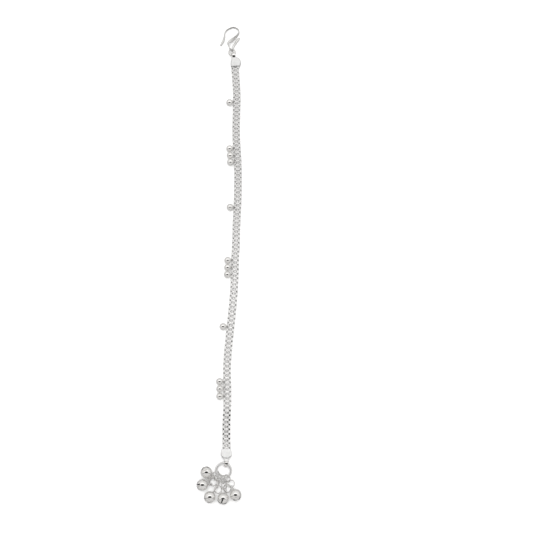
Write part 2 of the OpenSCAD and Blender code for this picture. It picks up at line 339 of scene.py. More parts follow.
# black metal standing for shade: painted shade in the eye pits and inside some bells
painted_shade_silver = silver("painted_shade_silver", BLACK, (0.02, 0.02, 0.02), 0.30, 0.30, 0.20, 0.30)
print("finishes:", [m.name for m in bpy.data.materials if m.name.endswith("silver")])

# %% [markdown]
# ## Helpers for shapes
# Several pieces are a cross-section carried along a way: the hook's strip, the rings' wire. One
# small function skins such a row of sections with quads and closes its ends, and another puts a
# finished mesh into the scene and names the body it rides on.

# %% Skin sections and finish a piece
def skin(sections, closed=False):
    """Points and faces of a tube through sections that all have as many points."""
    n, count = len(sections[0]), len(sections)
    points = [p for section in sections for p in section]
    faces = []
    for i in range(count if closed else count - 1):
        a, b = i * n, (i + 1) % count * n
        faces += [(a + j, a + (j + 1) % n, b + (j + 1) % n, b + j) for j in range(n)]
    if not closed:
        faces += [tuple(reversed(range(n))), tuple(range((count - 1) * n, count * n))]
    return points, faces


def outward(mesh):
    """Merge points that lie on each other, and turn all faces of a closed mesh outwards."""
    work = bmesh.new()
    work.from_mesh(mesh)
    bmesh.ops.remove_doubles(work, verts=work.verts, dist=1e-7)
    bmesh.ops.recalc_face_normals(work, faces=work.faces)
    work.to_mesh(mesh)
    work.free()


def soften(mesh, degrees=40):
    """Smooth shading, with edges sharper than the angle kept crisp."""
    mesh.shade_smooth()
    mesh.set_sharp_from_angle(angle=math.radians(degrees))


def put(name, mesh, finish, slot_name, *nodes):
    """Show a finished mesh, in place of its CAD nodes if it stands for any."""
    if not mesh.materials:
        mesh.materials.append(finish)
    piece = bpy.data.objects.new(name, mesh)
    into_scene(piece)
    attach(piece, "root")
    if nodes:
        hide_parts(*nodes)


def triangles(mesh):
    return sum(len(p.vertices) - 2 for p in mesh.polygons)


# %% [markdown]
# ## The chain's way
# A chain that is laid down by hand never runs quite straight. The way is a short table of places
# along the table top, joined by a smooth curve, and it climbs a little at both ends where the
# caps hold the chain.

# %% Route of the chain
# columns: along the anklet, across it, in mm
ROUTE = [
    (121.4, 7.95), (119.5, 7.75), (116, 7.8), (110, 8.3), (100, 8.8), (90, 8.7), (80, 8.5),
    (70, 8.8), (60, 9.5), (50, 9.8), (40, 9.8), (30, 9.6), (20, 9.1), (10, 8.9), (0, 8.5),
    (-10, 8.3), (-20, 7.9), (-30, 7.2), (-40, 6.3), (-50, 5.3), (-60, 4.4), (-70, 4.0),
    (-80, 4.3), (-90, 4.3), (-100, 3.9), (-110, 3.9), (-113, 4.0), (-115.1, 4.05), (-116.9, 4.05),
]
# how high the middle lies on the table and in the caps, and where it climbs from one to the other
CHAIN_REST, CHAIN_IN_CAP = 1.22, 1.65
CLIMB_AT, CLIMB_LONG = (-110.5, 114.5), 5.0


def hermite(p, q, m, n, u):
    return (p * (1 + 2 * u) * (1 - u) ** 2 + q * u * u * (3 - 2 * u)
            + m * u * (1 - u) ** 2 - n * u * u * (1 - u))


def route_slope(i):
    a, b = ROUTE[max(i - 1, 0)], ROUTE[min(i + 1, len(ROUTE) - 1)]
    return (b[1] - a[1]) / (b[0] - a[0])


def chain_x(y):
    """Where the chain's middle is across the table, in mm."""
    i = 0
    while i < len(ROUTE) - 2 and y < ROUTE[i + 1][0]:
        i += 1
    (from_y, from_x), (to_y, to_x) = ROUTE[i], ROUTE[i + 1]
    h = to_y - from_y
    return hermite(from_x, to_x, route_slope(i) * h, route_slope(i + 1) * h, (y - from_y) / h)


def chain_z(y):
    """How high the chain's middle is, in mm: it climbs over the last few links."""
    edge = max(y - CLIMB_AT[1], CLIMB_AT[0] - y) / CLIMB_LONG
    u = min(max(edge, 0.0), 1.0)
    return CHAIN_REST + (CHAIN_IN_CAP - CHAIN_REST) * u * u * (3 - 2 * u)


print("chain middle at y=0:", round(chain_x(0), 2), "mm")

# %% [markdown]
# ## Box links
# Each row is a box chain: short square loops of flat strip, each turned a quarter turn from the
# next and threaded through it. Two rows lie side by side on their edges, so four small plates
# show across the chain. Hundreds of equal links along a way are a job for Geometry Nodes: the
# tree bends one link from a rounded rectangle, copies it along the way, turns every other copy,
# and mirrors the turn for the second row. It also notes how black the painted shade is in each
# link's hollow, and the finish of the links reads that note.

# %% Tree: a double row of box links
LINK_SIZES = {
    "Links a row": 174, "Row offset": 1.2 * MM, "Link side": 2.05 * MM, "Link length": 1.96 * MM,
    "Strip width": 1.35 * MM, "Strip thickness": 0.3 * MM, "Corner radius": 0.42 * MM,
    "Looseness": 0.04, "Seed": 7, "Shade in hollows": 0.14, "Shade in hollows at the end": 1.0, "Dark link": 10.5,
    "Dark links": 9.0, "Hook half darkening": 0.15,
}
# a face is in a link's hollow if it looks along the chain, or back at the link's own middle
LOOKS_ALONG, LOOKS_BACK = 0.6, -0.00005
# black painted shade is full in the middle of the dark links, and fades out over this share each
# way
DARK_FADE = 0.45
# the links are painted evenly darker towards the hook, growing between these shares of the chain
HOOK_DARKENING_GROWS = (0.35, 0.70)
# how much of the painted black shade the links take by turns: 0.45 and none beside the beads
# (-X), all of it and 0.4 in the other row
ROW_SHARES = {-1.0: ("MULTIPLY", 0.45), 1.0: ("MAXIMUM", 0.4)}


def make_link_tree():
    tree = bpy.data.node_groups.new("box_links", "GeometryNodeTree")
    sockets = tree.interface
    sockets.new_socket("Geometry", in_out="INPUT", socket_type="NodeSocketGeometry")
    for label, value in LINK_SIZES.items():
        kind = "NodeSocketInt" if isinstance(value, int) else "NodeSocketFloat"
        sockets.new_socket(label, in_out="INPUT", socket_type=kind).default_value = value
    sockets.new_socket("Finish", in_out="INPUT", socket_type="NodeSocketMaterial")
    sockets.new_socket("Geometry", in_out="OUTPUT", socket_type="NodeSocketGeometry")
    given = tree.nodes.new("NodeGroupInput").outputs

    def add(kind, inputs=None, **settings):
        """The first output of a new node."""
        return node_in(tree, kind, inputs, **settings).outputs[0]

    def calc(operation, *values):
        return math_node(tree, operation, *values)

    def times(a, b):
        return calc("MULTIPLY", a, b)

    def noted(geometry, label, domain, value):
        """Write a number on each point or face, under a name."""
        return add("GeometryNodeStoreNamedAttribute", {
            "Geometry": geometry, "Name": label, "Value": value}, data_type="FLOAT", domain=domain)

    def read(label):
        return add("GeometryNodeInputNamedAttribute", {"Name": label}, data_type="FLOAT")

    # one link, lying flat in the plane of the table
    thick = given["Strip thickness"]
    loop = add("GeometryNodeCurvePrimitiveQuadrilateral", {
        "Width": calc("SUBTRACT", given["Link side"], thick),
        "Height": calc("SUBTRACT", given["Link length"], thick)})
    bent = add("GeometryNodeFilletCurve", {
        "Curve": loop, "Radius": given["Corner radius"], "Count": 2}, mode="POLY")
    strip = add("GeometryNodeCurvePrimitiveQuadrilateral", {
        "Width": thick, "Height": given["Strip width"]})
    link = add("GeometryNodeCurveToMesh", {"Curve": bent, "Profile Curve": strip})

    # its hollow
    normal = add("GeometryNodeInputNormal")
    outward_share = node_in(tree, "ShaderNodeVectorMath", {
        0: add("GeometryNodeInputPosition"), 1: normal}, operation="DOT_PRODUCT").outputs["Value"]
    along = calc("ABSOLUTE", node_in(tree, "ShaderNodeSeparateXYZ", {0: normal}).outputs["Y"])
    in_hollow = calc("MAXIMUM", calc("LESS_THAN", outward_share, LOOKS_BACK),
                     calc("GREATER_THAN", along, LOOKS_ALONG))
    link = noted(link, "inside", "FACE", in_hollow)

    # places along the way, closer than a link is long, so that each is threaded through the next
    way = add("GeometryNodeMeshToCurve", {"Mesh": given["Geometry"]})
    places = node_in(tree, "GeometryNodeCurveToPoints", {
        "Curve": way, "Count": given["Links a row"]}, mode="COUNT").outputs
    facing = add("FunctionNodeAlignRotationToVector", {"Vector": places["Tangent"]}, axis="Y")
    index = add("GeometryNodeInputIndex")
    odd = calc("MODULO", index, 2.0)

    # how near each link is to the middle of the dark stretch, and how much darker it is painted
    # towards the hook
    off_dark = calc("ABSOLUTE", calc("SUBTRACT", index, given["Dark link"]))
    near_dark = calc("SUBTRACT", 1.0, calc("DIVIDE", off_dark, given["Dark links"]))
    near_dark = ramp_between(tree, near_dark, 0.0, DARK_FADE)
    share = calc("DIVIDE", index, given["Links a row"])
    hook_half_darkening = times(ramp_between(tree, share, *HOOK_DARKENING_GROWS), given["Hook half darkening"])

    both_rows = node_in(tree, "GeometryNodeJoinGeometry")
    for row, (side, (operation, amount)) in enumerate(ROW_SHARES.items()):
        jitter = node_in(tree, "FunctionNodeRandomValue", {
            "Min": times(given["Looseness"], -1.0), "Max": given["Looseness"],
            "Seed": calc("ADD", given["Seed"], float(row))}, data_type="FLOAT").outputs["Value"]
        roll = calc("ADD", times(calc("SUBTRACT", odd, 0.5), side * math.pi / 2), jitter)
        turn = add("FunctionNodeEulerToRotation", {0: add("ShaderNodeCombineXYZ", {"Y": roll})})
        turned = add("FunctionNodeRotateRotation", {
            "Rotation": facing, "Rotate By": turn}, rotation_space="LOCAL")
        offset = add("ShaderNodeCombineXYZ", {"X": times(given["Row offset"], side)})
        shift = add("FunctionNodeRotateVector", {"Vector": offset, "Rotation": facing})
        # painted shade: how black each link's hollow is painted, by its row and its turn
        black = times(near_dark, calc(operation, odd, amount))
        deeper = times(calc("SUBTRACT", given["Shade in hollows at the end"], given["Shade in hollows"]), black)
        points = noted(places["Points"], "depth", "POINT", calc("ADD", given["Shade in hollows"], deeper))
        points = noted(points, "hook_half_darkening", "POINT", hook_half_darkening)
        points = add("GeometryNodeSetPosition", {"Geometry": points, "Offset": shift})
        copies = add("GeometryNodeInstanceOnPoints", {
            "Points": points, "Instance": link, "Rotation": turned})
        tree.links.new(copies, both_rows.inputs["Geometry"])

    real = add("GeometryNodeRealizeInstances", {"Geometry": both_rows.outputs[0]})
    painted_darkening = calc("MAXIMUM", times(read("inside"), read("depth")), read("hook_half_darkening"))
    real = noted(real, "inside", "FACE", painted_darkening)
    painted = add("GeometryNodeSetMaterial", {"Geometry": real, "Material": given["Finish"]})
    node_in(tree, "NodeGroupOutput", {"Geometry": painted})
    return tree


link_tree = make_link_tree()
print("tree:", link_tree.name, "with", len(link_tree.nodes), "nodes")

# %% Grow the links along the way
def grown(name, carrier_mesh, tree, values):
    """Run a Geometry Nodes tree on a mesh and hand back the plain mesh it makes."""
    carrier = bpy.data.objects.new(name + "_way", carrier_mesh)
    into_scene(carrier)
    grower = carrier.modifiers.new("grow", "NODES")
    grower.node_group = tree
    for item in tree.interface.items_tree:
        if item.item_type == "SOCKET" and item.in_out == "INPUT" and item.name in values:
            grower[item.identifier] = values[item.name]
    bpy.context.view_layer.update()
    shaped = carrier.evaluated_get(bpy.context.evaluated_depsgraph_get())
    mesh = bpy.data.meshes.new_from_object(shaped)
    mesh.name = name
    carrier.modifiers.remove(grower)
    bpy.data.objects.remove(carrier)
    return mesh


# middles of the first and the last link, and how far one link lies from the next, in mm
CHAIN_FIRST, CHAIN_LAST, PITCH = -116.2, 121.06, 1.36
WAY_STEP = 0.5
steps = int((CHAIN_LAST - CHAIN_FIRST) / WAY_STEP)
stops = [CHAIN_FIRST + (CHAIN_LAST - CHAIN_FIRST) * i / steps for i in range(steps + 1)]
way_points = [Vector((chain_x(y), y, chain_z(y))) * MM for y in stops]
way_length = sum((b - a).length for a, b in zip(way_points, way_points[1:]))
links_a_row = int(round(way_length / (PITCH * MM))) + 1

way_mesh = bpy.data.meshes.new("chain_way")
way_mesh.from_pydata(way_points, [(i, i + 1) for i in range(steps)], [])
chain_mesh = grown("box_chain", way_mesh, link_tree, {
    "Links a row": links_a_row, "Finish": link_silver})
soften(chain_mesh, 35)
put("box_chain", chain_mesh, link_silver, "bright_silver", "chain")
print("links a row:", links_a_row, "| triangles:", triangles(chain_mesh))

# %% [markdown]
# ## Beads
# A bead is a small hollow ball with a wire eye soldered on, hung on the chain's outer links. The
# twelve are alike, so one recipe turns a fine ball with its eye and sets it down beside the
# chain. Its place goes into the mesh itself, and the object stays at the origin.

# %% Helpers for round wire, turned shapes and finishes
HERE = Matrix()
ON_EDGE = Matrix.Rotation(math.pi / 2, 4, "X")


def wire_loop(radius, wire, around, sides, gap=0.0):
    """Points and faces of a ring of round wire lying flat, with an optional saw gap, in mm."""
    start = gap / 2 / radius
    sweep = 2 * math.pi - 2 * start
    sections = []
    for i in range(around + (gap > 0)):
        a = start + sweep * i / around
        out = Vector((math.cos(a), math.sin(a), 0))
        sections.append([radius * out + wire * (math.cos(t) * out + math.sin(t) * Vector((0, 0, 1)))
                         for t in turns(sides)])
    return skin(sections, closed=not gap)


def lathe(profile, around):
    """Points and faces of a profile of (radius, height) turned about Z, closed at its poles."""
    points, faces, rows = [], [], []
    for radius, height in profile:
        here = turns(around) if radius > 1e-6 else [0.0]
        rows.append(range(len(points), len(points) + len(here)))
        points += [Vector((radius * math.cos(a), radius * math.sin(a), height)) for a in here]
    for a, b in zip(rows, rows[1:]):
        for j in range(around):
            k = (j + 1) % around
            corners = a[j % len(a)], a[k % len(a)], b[k % len(b)], b[j % len(b)]
            quad = tuple(dict.fromkeys(corners))
            if len(quad) > 2:
                faces.append(quad)
    return points, faces


def dome_profile(radius, count):
    """Places down the side of a ball, from pole to pole."""
    return [(radius * math.sin(t), radius * math.cos(t)) for t in turns(2 * count)[:count + 1]]


def ball(radius, around=48, down=24):
    """Points and faces of a ball, in mm."""
    return lathe(dome_profile(radius, down), around)


def merged(name, *pieces):
    """One mesh from pieces of (points, faces, place) in mm, scaled to metres."""
    points, faces = [], []
    for some_points, some_faces, place in pieces:
        base = len(points)
        points += [place @ Vector(p) * MM for p in some_points]
        faces += [tuple(base + k for k in f) for f in some_faces]
    mesh = bpy.data.meshes.new(name)
    mesh.from_pydata(points, [], faces)
    outward(mesh)
    return mesh


def paint_faces(mesh, finishes, pick):
    """Give a mesh several finishes. pick says which one a face gets, counted from 0."""
    mesh.materials.clear()
    for finish in finishes:
        mesh.materials.append(finish)
    for face in mesh.polygons:
        face.material_index = int(pick(face))


# %% Turn and set twelve beads
BEAD_R = 2.05
BEAD_OUT = 4.42
BEAD_Y = (96.1, 66.3, 61.9, 57.6, 29.2, -3.7, -8.1, -12.4, -43.8, -76.3, -80.6, -84.9)
BEAD_EYE_R, BEAD_EYE_WIRE, BEAD_EYE_OUT = 0.46, 0.19, 0.30

for i, y in enumerate(BEAD_Y):
    centre = Vector((chain_x(y) - BEAD_OUT, y, BEAD_R))
    eye_at = Matrix.Translation(centre + Vector((BEAD_R + BEAD_EYE_OUT, 0, 0))) @ ON_EDGE
    mesh = merged(f"bead_{i + 1}", (*ball(BEAD_R), Matrix.Translation(centre)),
                  (*wire_loop(BEAD_EYE_R, BEAD_EYE_WIRE, 24, 10), eye_at))
    soften(mesh, 60)
    eye_starts = (centre.x + BEAD_R - 0.02) * MM
    paint_faces(mesh, (bead_silver, solder_silver), lambda face: face.center.x > eye_starts)
    put(f"round_bead_{i + 1:02d}", mesh, bead_silver, "bright_silver", f"bead_{i + 1:02d}")
print("beads set:", len(BEAD_Y), "| triangles each:", triangles(mesh))

# %% [markdown]
# ## Rings
# Jump rings are cut from a coil of round wire and closed with pliers, so each shows a hairline
# gap where its ends meet. Each ring is a swept tube that stops just short of itself. The tables
# give the ring's middle, how far its plane leans from flat and which way its low side points.

# %% Place every ring
# each ring has the radius of its wire's middle line, and half the wire's thickness
END_AT, END_R, END_WIRE = (2.4, -127.5, 2.0), 4.2, 0.75
HOOK_RING_AT, HOOK_RING_R, HOOK_RING_WIRE = (5.7, 129.2, 2.0), 1.95, 0.45
JUMP_R, JUMP_WIRE = 2.2, 0.3
SAW_GAP = 0.05
CARRIER_ANGLES, CARRIER_Z, CARRIER_LEAN = (28, -1, -24, -43, -65), 2.1, 52
# columns: x, y, z, lean, low side, place of the cut, node
OTHER_RINGS = [
    (-0.8, -135.4, 2.5, 80, -14, 100, "link_ring_1"),
    (2.9, -135.7, 2.1, 50, 7, 220, "link_ring_2"),
    (-4.7, -131.6, 2.5, 82, 133, 40, "bell_ring_1"),
    (-3.3, -134.0, 2.3, 17, 138, 300, "bell_ring_2"),
    (-0.6, -138.2, 2.4, 24, 17, 250, "bell_ring_3"),
    (4.7, -137.6, 1.4, 12, 180, 330, "bell_ring_4"),
    (6.7, -135.0, 2.9, 20, 115, 250, "bell_ring_5"),
]


def leaning(at, lean, low):
    """A place on the table, leant by so many degrees with its low side in the given direction."""
    turn = Euler((0, math.radians(lean), math.radians(low))).to_matrix().to_4x4()
    return Matrix.Translation(Vector(at)) @ turn


def wire_ring(name, at, radius, wire, lean, low, cut, node, finish=wire_silver):
    """A ring of wire whose cut ends meet at the given angle round it."""
    spun = leaning(at, lean, low) @ Matrix.Rotation(math.radians(cut), 4, "Z")
    mesh = merged(name, (*wire_loop(radius, wire, 72, 16, SAW_GAP), spun))
    soften(mesh)
    put(name, mesh, finish, "bright_silver", node)


wire_ring("large_end_ring", END_AT, END_R, END_WIRE, 0, 0, 200, "end_ring", ring_silver)
wire_ring("small_hook_ring", HOOK_RING_AT, HOOK_RING_R, HOOK_RING_WIRE, 0, 0, 180, "hook_ring")
for i, angle in enumerate(CARRIER_ANGLES):
    a, out = math.radians(angle), END_R + 0.9
    at = (END_AT[0] + out * math.sin(a), END_AT[1] - out * math.cos(a), CARRIER_Z)
    wire_ring(f"jump_ring_carrier_{i + 1}", at, JUMP_R, JUMP_WIRE, CARRIER_LEAN, 180 + angle,
              35 + 70 * i, f"carrier_ring_{i + 1}")
for *at, lean_by, low, cut, node in OTHER_RINGS:
    wire_ring("jump_" + node, at, JUMP_R, JUMP_WIRE, lean_by, low, cut, node)
print("rings placed:", 2 + len(CARRIER_ANGLES) + len(OTHER_RINGS))

# %% [markdown]
# ## Bells
# A bell is two domes of thin sheet soldered along a seam. The far dome is cut by two crossed
# slots that end in drilled holes, so it looks like four petals, and a loose pellet rings inside.
# The shell is turned on the lathe as one profile, and the slots are cut out of it as real holes,
# because light must fall through them.

# %% Turn a shell and cut its petals
BELL_R, BELL_WALL = 3.35, 0.4
# the seam is a groove this far below the middle, with this depth, half height and half floor
SEAM_DROP, SEAM_DEEP, SEAM_HALF, SEAM_FLOOR = 1.2, 0.10, 0.1, 0.02
SLOT_W, SLOT_STOP, SLOT_HOLE = 0.7, 2.1, 0.5


def with_seam(rows):
    """The bell's outer profile with the seam pressed into it."""
    edge = math.sqrt(BELL_R ** 2 - SEAM_DROP ** 2)
    taper = SEAM_HALF * SEAM_DROP / edge
    rows = [r for r in rows if abs(r[1] + SEAM_DROP) > SEAM_HALF + 0.06]
    at = next(i for i, r in enumerate(rows) if r[1] < -SEAM_DROP)
    groove = ((edge + taper, SEAM_HALF), (edge - SEAM_DEEP, SEAM_FLOOR),
              (edge - SEAM_DEEP, -SEAM_FLOOR), (edge - taper, -SEAM_HALF))
    rows[at:at] = [(radius, height - SEAM_DROP) for radius, height in groove]
    return rows


def turned_shell():
    """A hollow ball: the inner dome is turned inside out and joined to the outer one."""
    shell = merged("bell_shell", (*lathe(with_seam(dome_profile(BELL_R, 48)), 96), HERE))
    hollow = merged("bell_hollow", (*lathe(dome_profile(BELL_R - BELL_WALL, 32)[::-1], 96), HERE))
    for p in hollow.polygons:
        p.flip()
    work = bmesh.new()
    work.from_mesh(shell)
    work.from_mesh(hollow)
    work.to_mesh(shell)
    work.free()
    return shell


def block(x0, x1, y0, y1, z0, z1):
    corners = (x0, y0), (x1, y0), (x1, y1), (x0, y1)
    faces = [(0, 3, 2, 1), (4, 5, 6, 7), (0, 1, 5, 4), (1, 2, 6, 5), (2, 3, 7, 6), (3, 0, 4, 7)]
    return [Vector((*corner, z)) for z in (z0, z1) for corner in corners], faces


def slot_cutters():
    """Crossed slabs and four drills, all below the plane where the slots stop."""
    reach = BELL_R + 1
    tilt = math.pi / 2 + math.asin(SLOT_STOP / (BELL_R - BELL_WALL / 2))
    slab = block(-reach, reach, -SLOT_W / 2, SLOT_W / 2, -reach, -SLOT_STOP)
    drill = lathe([(0, 1.5), (SLOT_HOLE, 1.5), (SLOT_HOLE, reach), (0, reach)], 24)
    quarters = [Matrix.Rotation(a, 4, "Z") for a in turns(4)]
    parts = [(*slab, quarter) for quarter in quarters[:2]]
    parts += [(*drill, quarter @ Matrix.Rotation(tilt, 4, "Y")) for quarter in quarters]
    return [merged(f"cutter_{i}", part) for i, part in enumerate(parts)]


def cut_away(mesh, cutters):
    """The mesh with every cutter taken out of it."""
    body = bpy.data.objects.new("cut_body", mesh)
    into_scene(body)
    helpers = []
    for cutter in cutters:
        tool = bpy.data.objects.new(cutter.name, cutter)
        into_scene(tool)
        helpers.append(tool)
        cut = body.modifiers.new(cutter.name, "BOOLEAN")
        cut.operation = "DIFFERENCE"
        cut.solver = "EXACT"
        cut.object = tool
    bpy.context.view_layer.update()
    cut_body = body.evaluated_get(bpy.context.evaluated_depsgraph_get())
    result = bpy.data.meshes.new_from_object(cut_body)
    for thing in helpers + [body]:
        bpy.data.objects.remove(thing)
    return result


cut_shell = cut_away(turned_shell(), slot_cutters())
print("bell shell:", len(cut_shell.vertices), "points,", triangles(cut_shell), "triangles")

# %% Hang the five bells
# columns: x, y, loop direction, dip of the loop end, turn of the loop, turn of the slots
BELLS = [
    (-7.3, -128.6, -74, 2, 32, 45),
    (-9.5, -135.7, 4, 13, -18, -8),
    (-5.2, -142.5, 54, 0, 0, 45),
    (2.4, -143.3, 72, 25, 0, 0),
    (9.5, -141.3, 112, -4, 0, 45),
]
# the bells whose insides are painted black, as painted shade, and how deep in the wall the inside
# finish begins
BLACK_INSIDE, INSIDE_FROM = (1, 3, 4), 0.15
LOOP_OUT, LOOP_R = 4.6, 1.0
PELLET_R, PELLET_Z = 1.0, 1.45
# radius and height above the shell of the solder foot under the loop
FOOT = [(0, -0.1), (0.75, -0.12), (0.66, 0.04), (0.5, 0.16), (0.36, 0.3), (0.2, 0.4), (0, 0.42)]
# how near to a true ball a point lies, in metres, and how squarely its face looks out
ON_BALL, SQUARE_ON = 2e-5, 0.9


def true_normals(mesh, centre, outer, inner):
    """Give the shell the normals of a true ball, so that reflections run smooth over its cuts."""
    normals = []
    for face in mesh.polygons:
        for k in face.loop_indices:
            ray = mesh.vertices[mesh.loops[k].vertex_index].co - centre
            size = ray.length
            ray.normalize()
            if abs(size - outer) < ON_BALL and face.normal.dot(ray) > SQUARE_ON:
                normals.append(ray)
            elif abs(size - inner) < ON_BALL and face.normal.dot(ray) < -SQUARE_ON:
                normals.append(-ray)
            else:
                normals.append(face.normal.copy())
    mesh.normals_split_custom_set(normals)


def bell_look(face):
    """0 for the loop's dome, 1 for the petals below the seam, 2 for slot walls and inside."""
    if face.center.length < (BELL_R - INSIDE_FROM) * MM:
        return 2
    return face.center.z < -SEAM_DROP * MM


def hang_bell(i):
    """A bell lying as it does on the table, with its loop and its pellet."""
    x, y, toward, dip, loop_turn, slot_turn = BELLS[i]
    centre = Vector((x, y, BELL_R))
    shell = cut_shell.copy()
    shell.transform(Matrix.Rotation(math.radians(slot_turn), 4, "Z"))
    # some bells are painted black inside, as painted shade seen through their slots
    inside = painted_shade_silver if i in BLACK_INSIDE else petal_silver
    paint_faces(shell, (bell_silver, petal_silver, inside), bell_look)
    shell.transform(leaning(centre * MM, 90 + dip, toward))
    shell.shade_smooth()
    true_normals(shell, centre * MM, BELL_R * MM, (BELL_R - BELL_WALL) * MM)
    put(f"bell_shell_{i + 1}", shell, bell_silver, "bright_silver", f"bell_{i + 1}")

    place = leaning(centre, 90 + dip, toward)
    loop_at = (place @ Matrix.Rotation(math.radians(loop_turn), 4, "Z")
               @ Matrix.Translation((0, 0, LOOP_OUT)) @ ON_EDGE)
    foot = lathe([(radius, BELL_R + height) for radius, height in FOOT], 32)
    loop = wire_loop(LOOP_R, JUMP_WIRE, 48, 14)
    loop = merged(f"bell_loop_{i + 1}", (*loop, loop_at), (*foot, place))
    soften(loop, 60)
    put(f"bell_loop_{i + 1}", loop, wire_silver, "bright_silver")

    pellet_at = Matrix.Translation((x, y, PELLET_Z))
    pellet = merged(f"pellet_{i + 1}", (*ball(PELLET_R, 32, 16), pellet_at))
    soften(pellet, 60)
    put(f"steel_pellet_{i + 1}", pellet, petal_silver, "satin_silver", f"pellet_{i + 1}")


for i in range(len(BELLS)):
    hang_bell(i)
print("bells hung:", len(BELLS))

# %% [markdown]
# ## Caps
# Each end of the chain is soldered into a cast cap: a plump flat plate with a square mouth for
# the chain and a barrel eye for the ring. The plate is one outline repeated at several heights
# and drawn in a little at the low and high ones, which rounds its edges without a bevel. The
# mouth is then cut into it, and a lump of solder fills the mouth round the last links.
#
# Castings keep marks of how they were made. Where the eye meets the plate there is a small hollow,
# painted black as painted shade, and the lower cap has a shallow groove across its top. The edges
# and the groove are painted darker than the flat top, as painted shade, which an attribute on each
# point tells the finish.

# %% Plates of the two caps
CAP_H = 3.3
# each outline runs from the mouth to the neck, down one edge and then down the other, in mm
CAPS = {
    "top_cap": {
        "mouth": (7.75, 119.7), "disc": (8.15, 122.8), "eye": (6.7, 126.9), "ring": (5.7, 129.2),
        "pit": (6.9, 125.65, 3.5), "finish": cast_silver, "groove": [],
        "near": [(5.1, 119.7), (5.05, 121.3), (5.15, 123.0), (5.4, 124.3), (5.6, 125.4),
                 (5.75, 126.1)],
        "far": [(10.4, 119.7), (10.95, 120.7), (11.25, 122.2), (11.0, 123.8), (10.0, 125.0),
                (8.7, 125.6), (7.85, 126.3)],
    },
    "lower_cap": {
        "mouth": (4.05, -115.3), "disc": (4.05, -118.4), "eye": (4.0, -123.7),
        "ring": (2.4, -127.5),
        "pit": (4.5, -123.7, 3.95), "finish": pale_cast_silver,
        "groove": [(0.7, -118.8, 2.5), (1.7, -119.7, 3.15), (2.9, -120.4, 3.35),
                   (4.1, -120.65, 3.35), (5.3, -120.4, 3.35), (6.3, -119.7, 3.15),
                   (7.4, -118.8, 2.5)],
        "near": [(1.4, -115.3), (1.15, -116.4), (0.9, -117.6), (0.95, -118.9), (1.7, -120.2),
                 (2.65, -121.1), (2.85, -122.9)],
        "far": [(6.7, -115.3), (6.95, -116.4), (7.2, -117.6), (7.15, -118.9), (6.4, -120.2),
                (5.4, -121.1), (5.15, -122.9)],
    },
}
# columns: height and how far the outline is drawn in there, in mm
PLATE_LEVELS = [(0.0, 0.9), (0.05, 0.55), (0.22, 0.22), (0.5, 0.04), (0.9, 0.0), (2.4, 0.0),
                (2.8, 0.05), (3.08, 0.24), (3.22, 0.55), (3.28, 0.95), (3.3, 1.5)]
PLATE_HALF = 3.4


def smooth_line(corners, steps=5):
    """Points of a smooth line through corners. Each number of a corner is smoothed by itself."""
    line = []
    for i in range(len(corners) - 1):
        p, q = corners[i], corners[i + 1]
        before, after = corners[max(i - 1, 0)], corners[min(i + 2, len(corners) - 1)]
        for k in range(steps):
            line.append(Vector([hermite(a, b, (b - c) / 2, (d - a) / 2, k / steps)
                                for a, b, c, d in zip(p, q, before, after)]))
    return line + [Vector(corners[-1])]


def cast_plate(name, cap):
    """The outline at every level, drawn in towards the disc's middle but never at the mouth."""
    outline = smooth_line(cap["near"]) + smooth_line(cap["far"])[::-1]
    middle = Vector(cap["disc"])
    back = (Vector(cap["mouth"]) - middle).normalized()
    sections = []
    for height, inset in PLATE_LEVELS:
        shrink = 1 - inset / PLATE_HALF
        row = []
        for p in outline:
            behind = (p - middle).dot(back)
            beside = p - middle - back * behind
            spot = middle + beside * shrink + back * behind * (1 if behind > 0 else shrink)
            row.append(Vector((*spot, height)))
        sections.append(row)
    return merged(name, (*skin(sections), HERE))


# %% Shapes that are cut and soldered
BARREL_R, BARREL_BORE, BARREL_HALF, BARREL_ROUND = 2.0, 1.4, 0.85, 0.2
POCKET_W, POCKET_DEEP, POCKET_FLOOR = 4.9, 1.9, 0.3
PIT_HALF = (0.72, 0.45, 0.5)
GROOVE_R = 0.24
SOLDER_AT, SOLDER_HALF = (-0.3, 0, 1.55), (0.6, 1.2, 0.9)


def barrel(cap):
    """A short tube with rounded rims, lying across the way from the plate to its ring."""
    (eye_x, eye_y), (ring_x, ring_y) = cap["eye"], cap["ring"]
    profile = []
    corners = ((BARREL_R, 1, 90), (BARREL_R, -1, 0), (BARREL_BORE, -1, 270), (BARREL_BORE, 1, 180))
    for radius, side, start in corners:
        into_wall = -BARREL_ROUND if radius == BARREL_R else BARREL_ROUND
        for k in range(5):
            a = math.radians(start - 90 * k / 4)
            profile.append((radius + into_wall + BARREL_ROUND * math.cos(a),
                            side * (BARREL_HALF - BARREL_ROUND) + BARREL_ROUND * math.sin(a)))
    across = Euler((math.pi / 2, 0, math.atan2(eye_y - ring_y, eye_x - ring_x)))
    place = Matrix.Translation((eye_x, eye_y, BARREL_R)) @ across.to_matrix().to_4x4()
    return (*lathe(profile + profile[:1], 48), place)


def lump(at, half, around, turned=HERE):
    """A ball stretched to half its size along x, y and z."""
    place = turned @ Matrix.Translation(at) @ Matrix.Diagonal((*half, 1))
    return (*ball(1.0, around, around // 2), place)


def groove_cutter(way):
    """A round rod bent along a way over the plate's top."""
    line = smooth_line(way)
    sections = []
    for k, p in enumerate(line):
        along = (line[min(k + 1, len(line) - 1)] - line[max(k - 1, 0)]).normalized()
        side = along.cross(Vector((0, 0, 1))).normalized()
        up = side.cross(along)
        sections.append([p + GROOVE_R * (math.cos(a) * side + math.sin(a) * up) for a in turns(10)])
    return merged("groove", (*skin(sections), HERE))


# %% Painted shade on the castings
# rims are painted darker, as painted shade, from this steepness on, darkest where they look towards
# -X
RIM_STARTS, RIM_SHADE, RIM_SIDE = 0.92, 0.55, 0.45
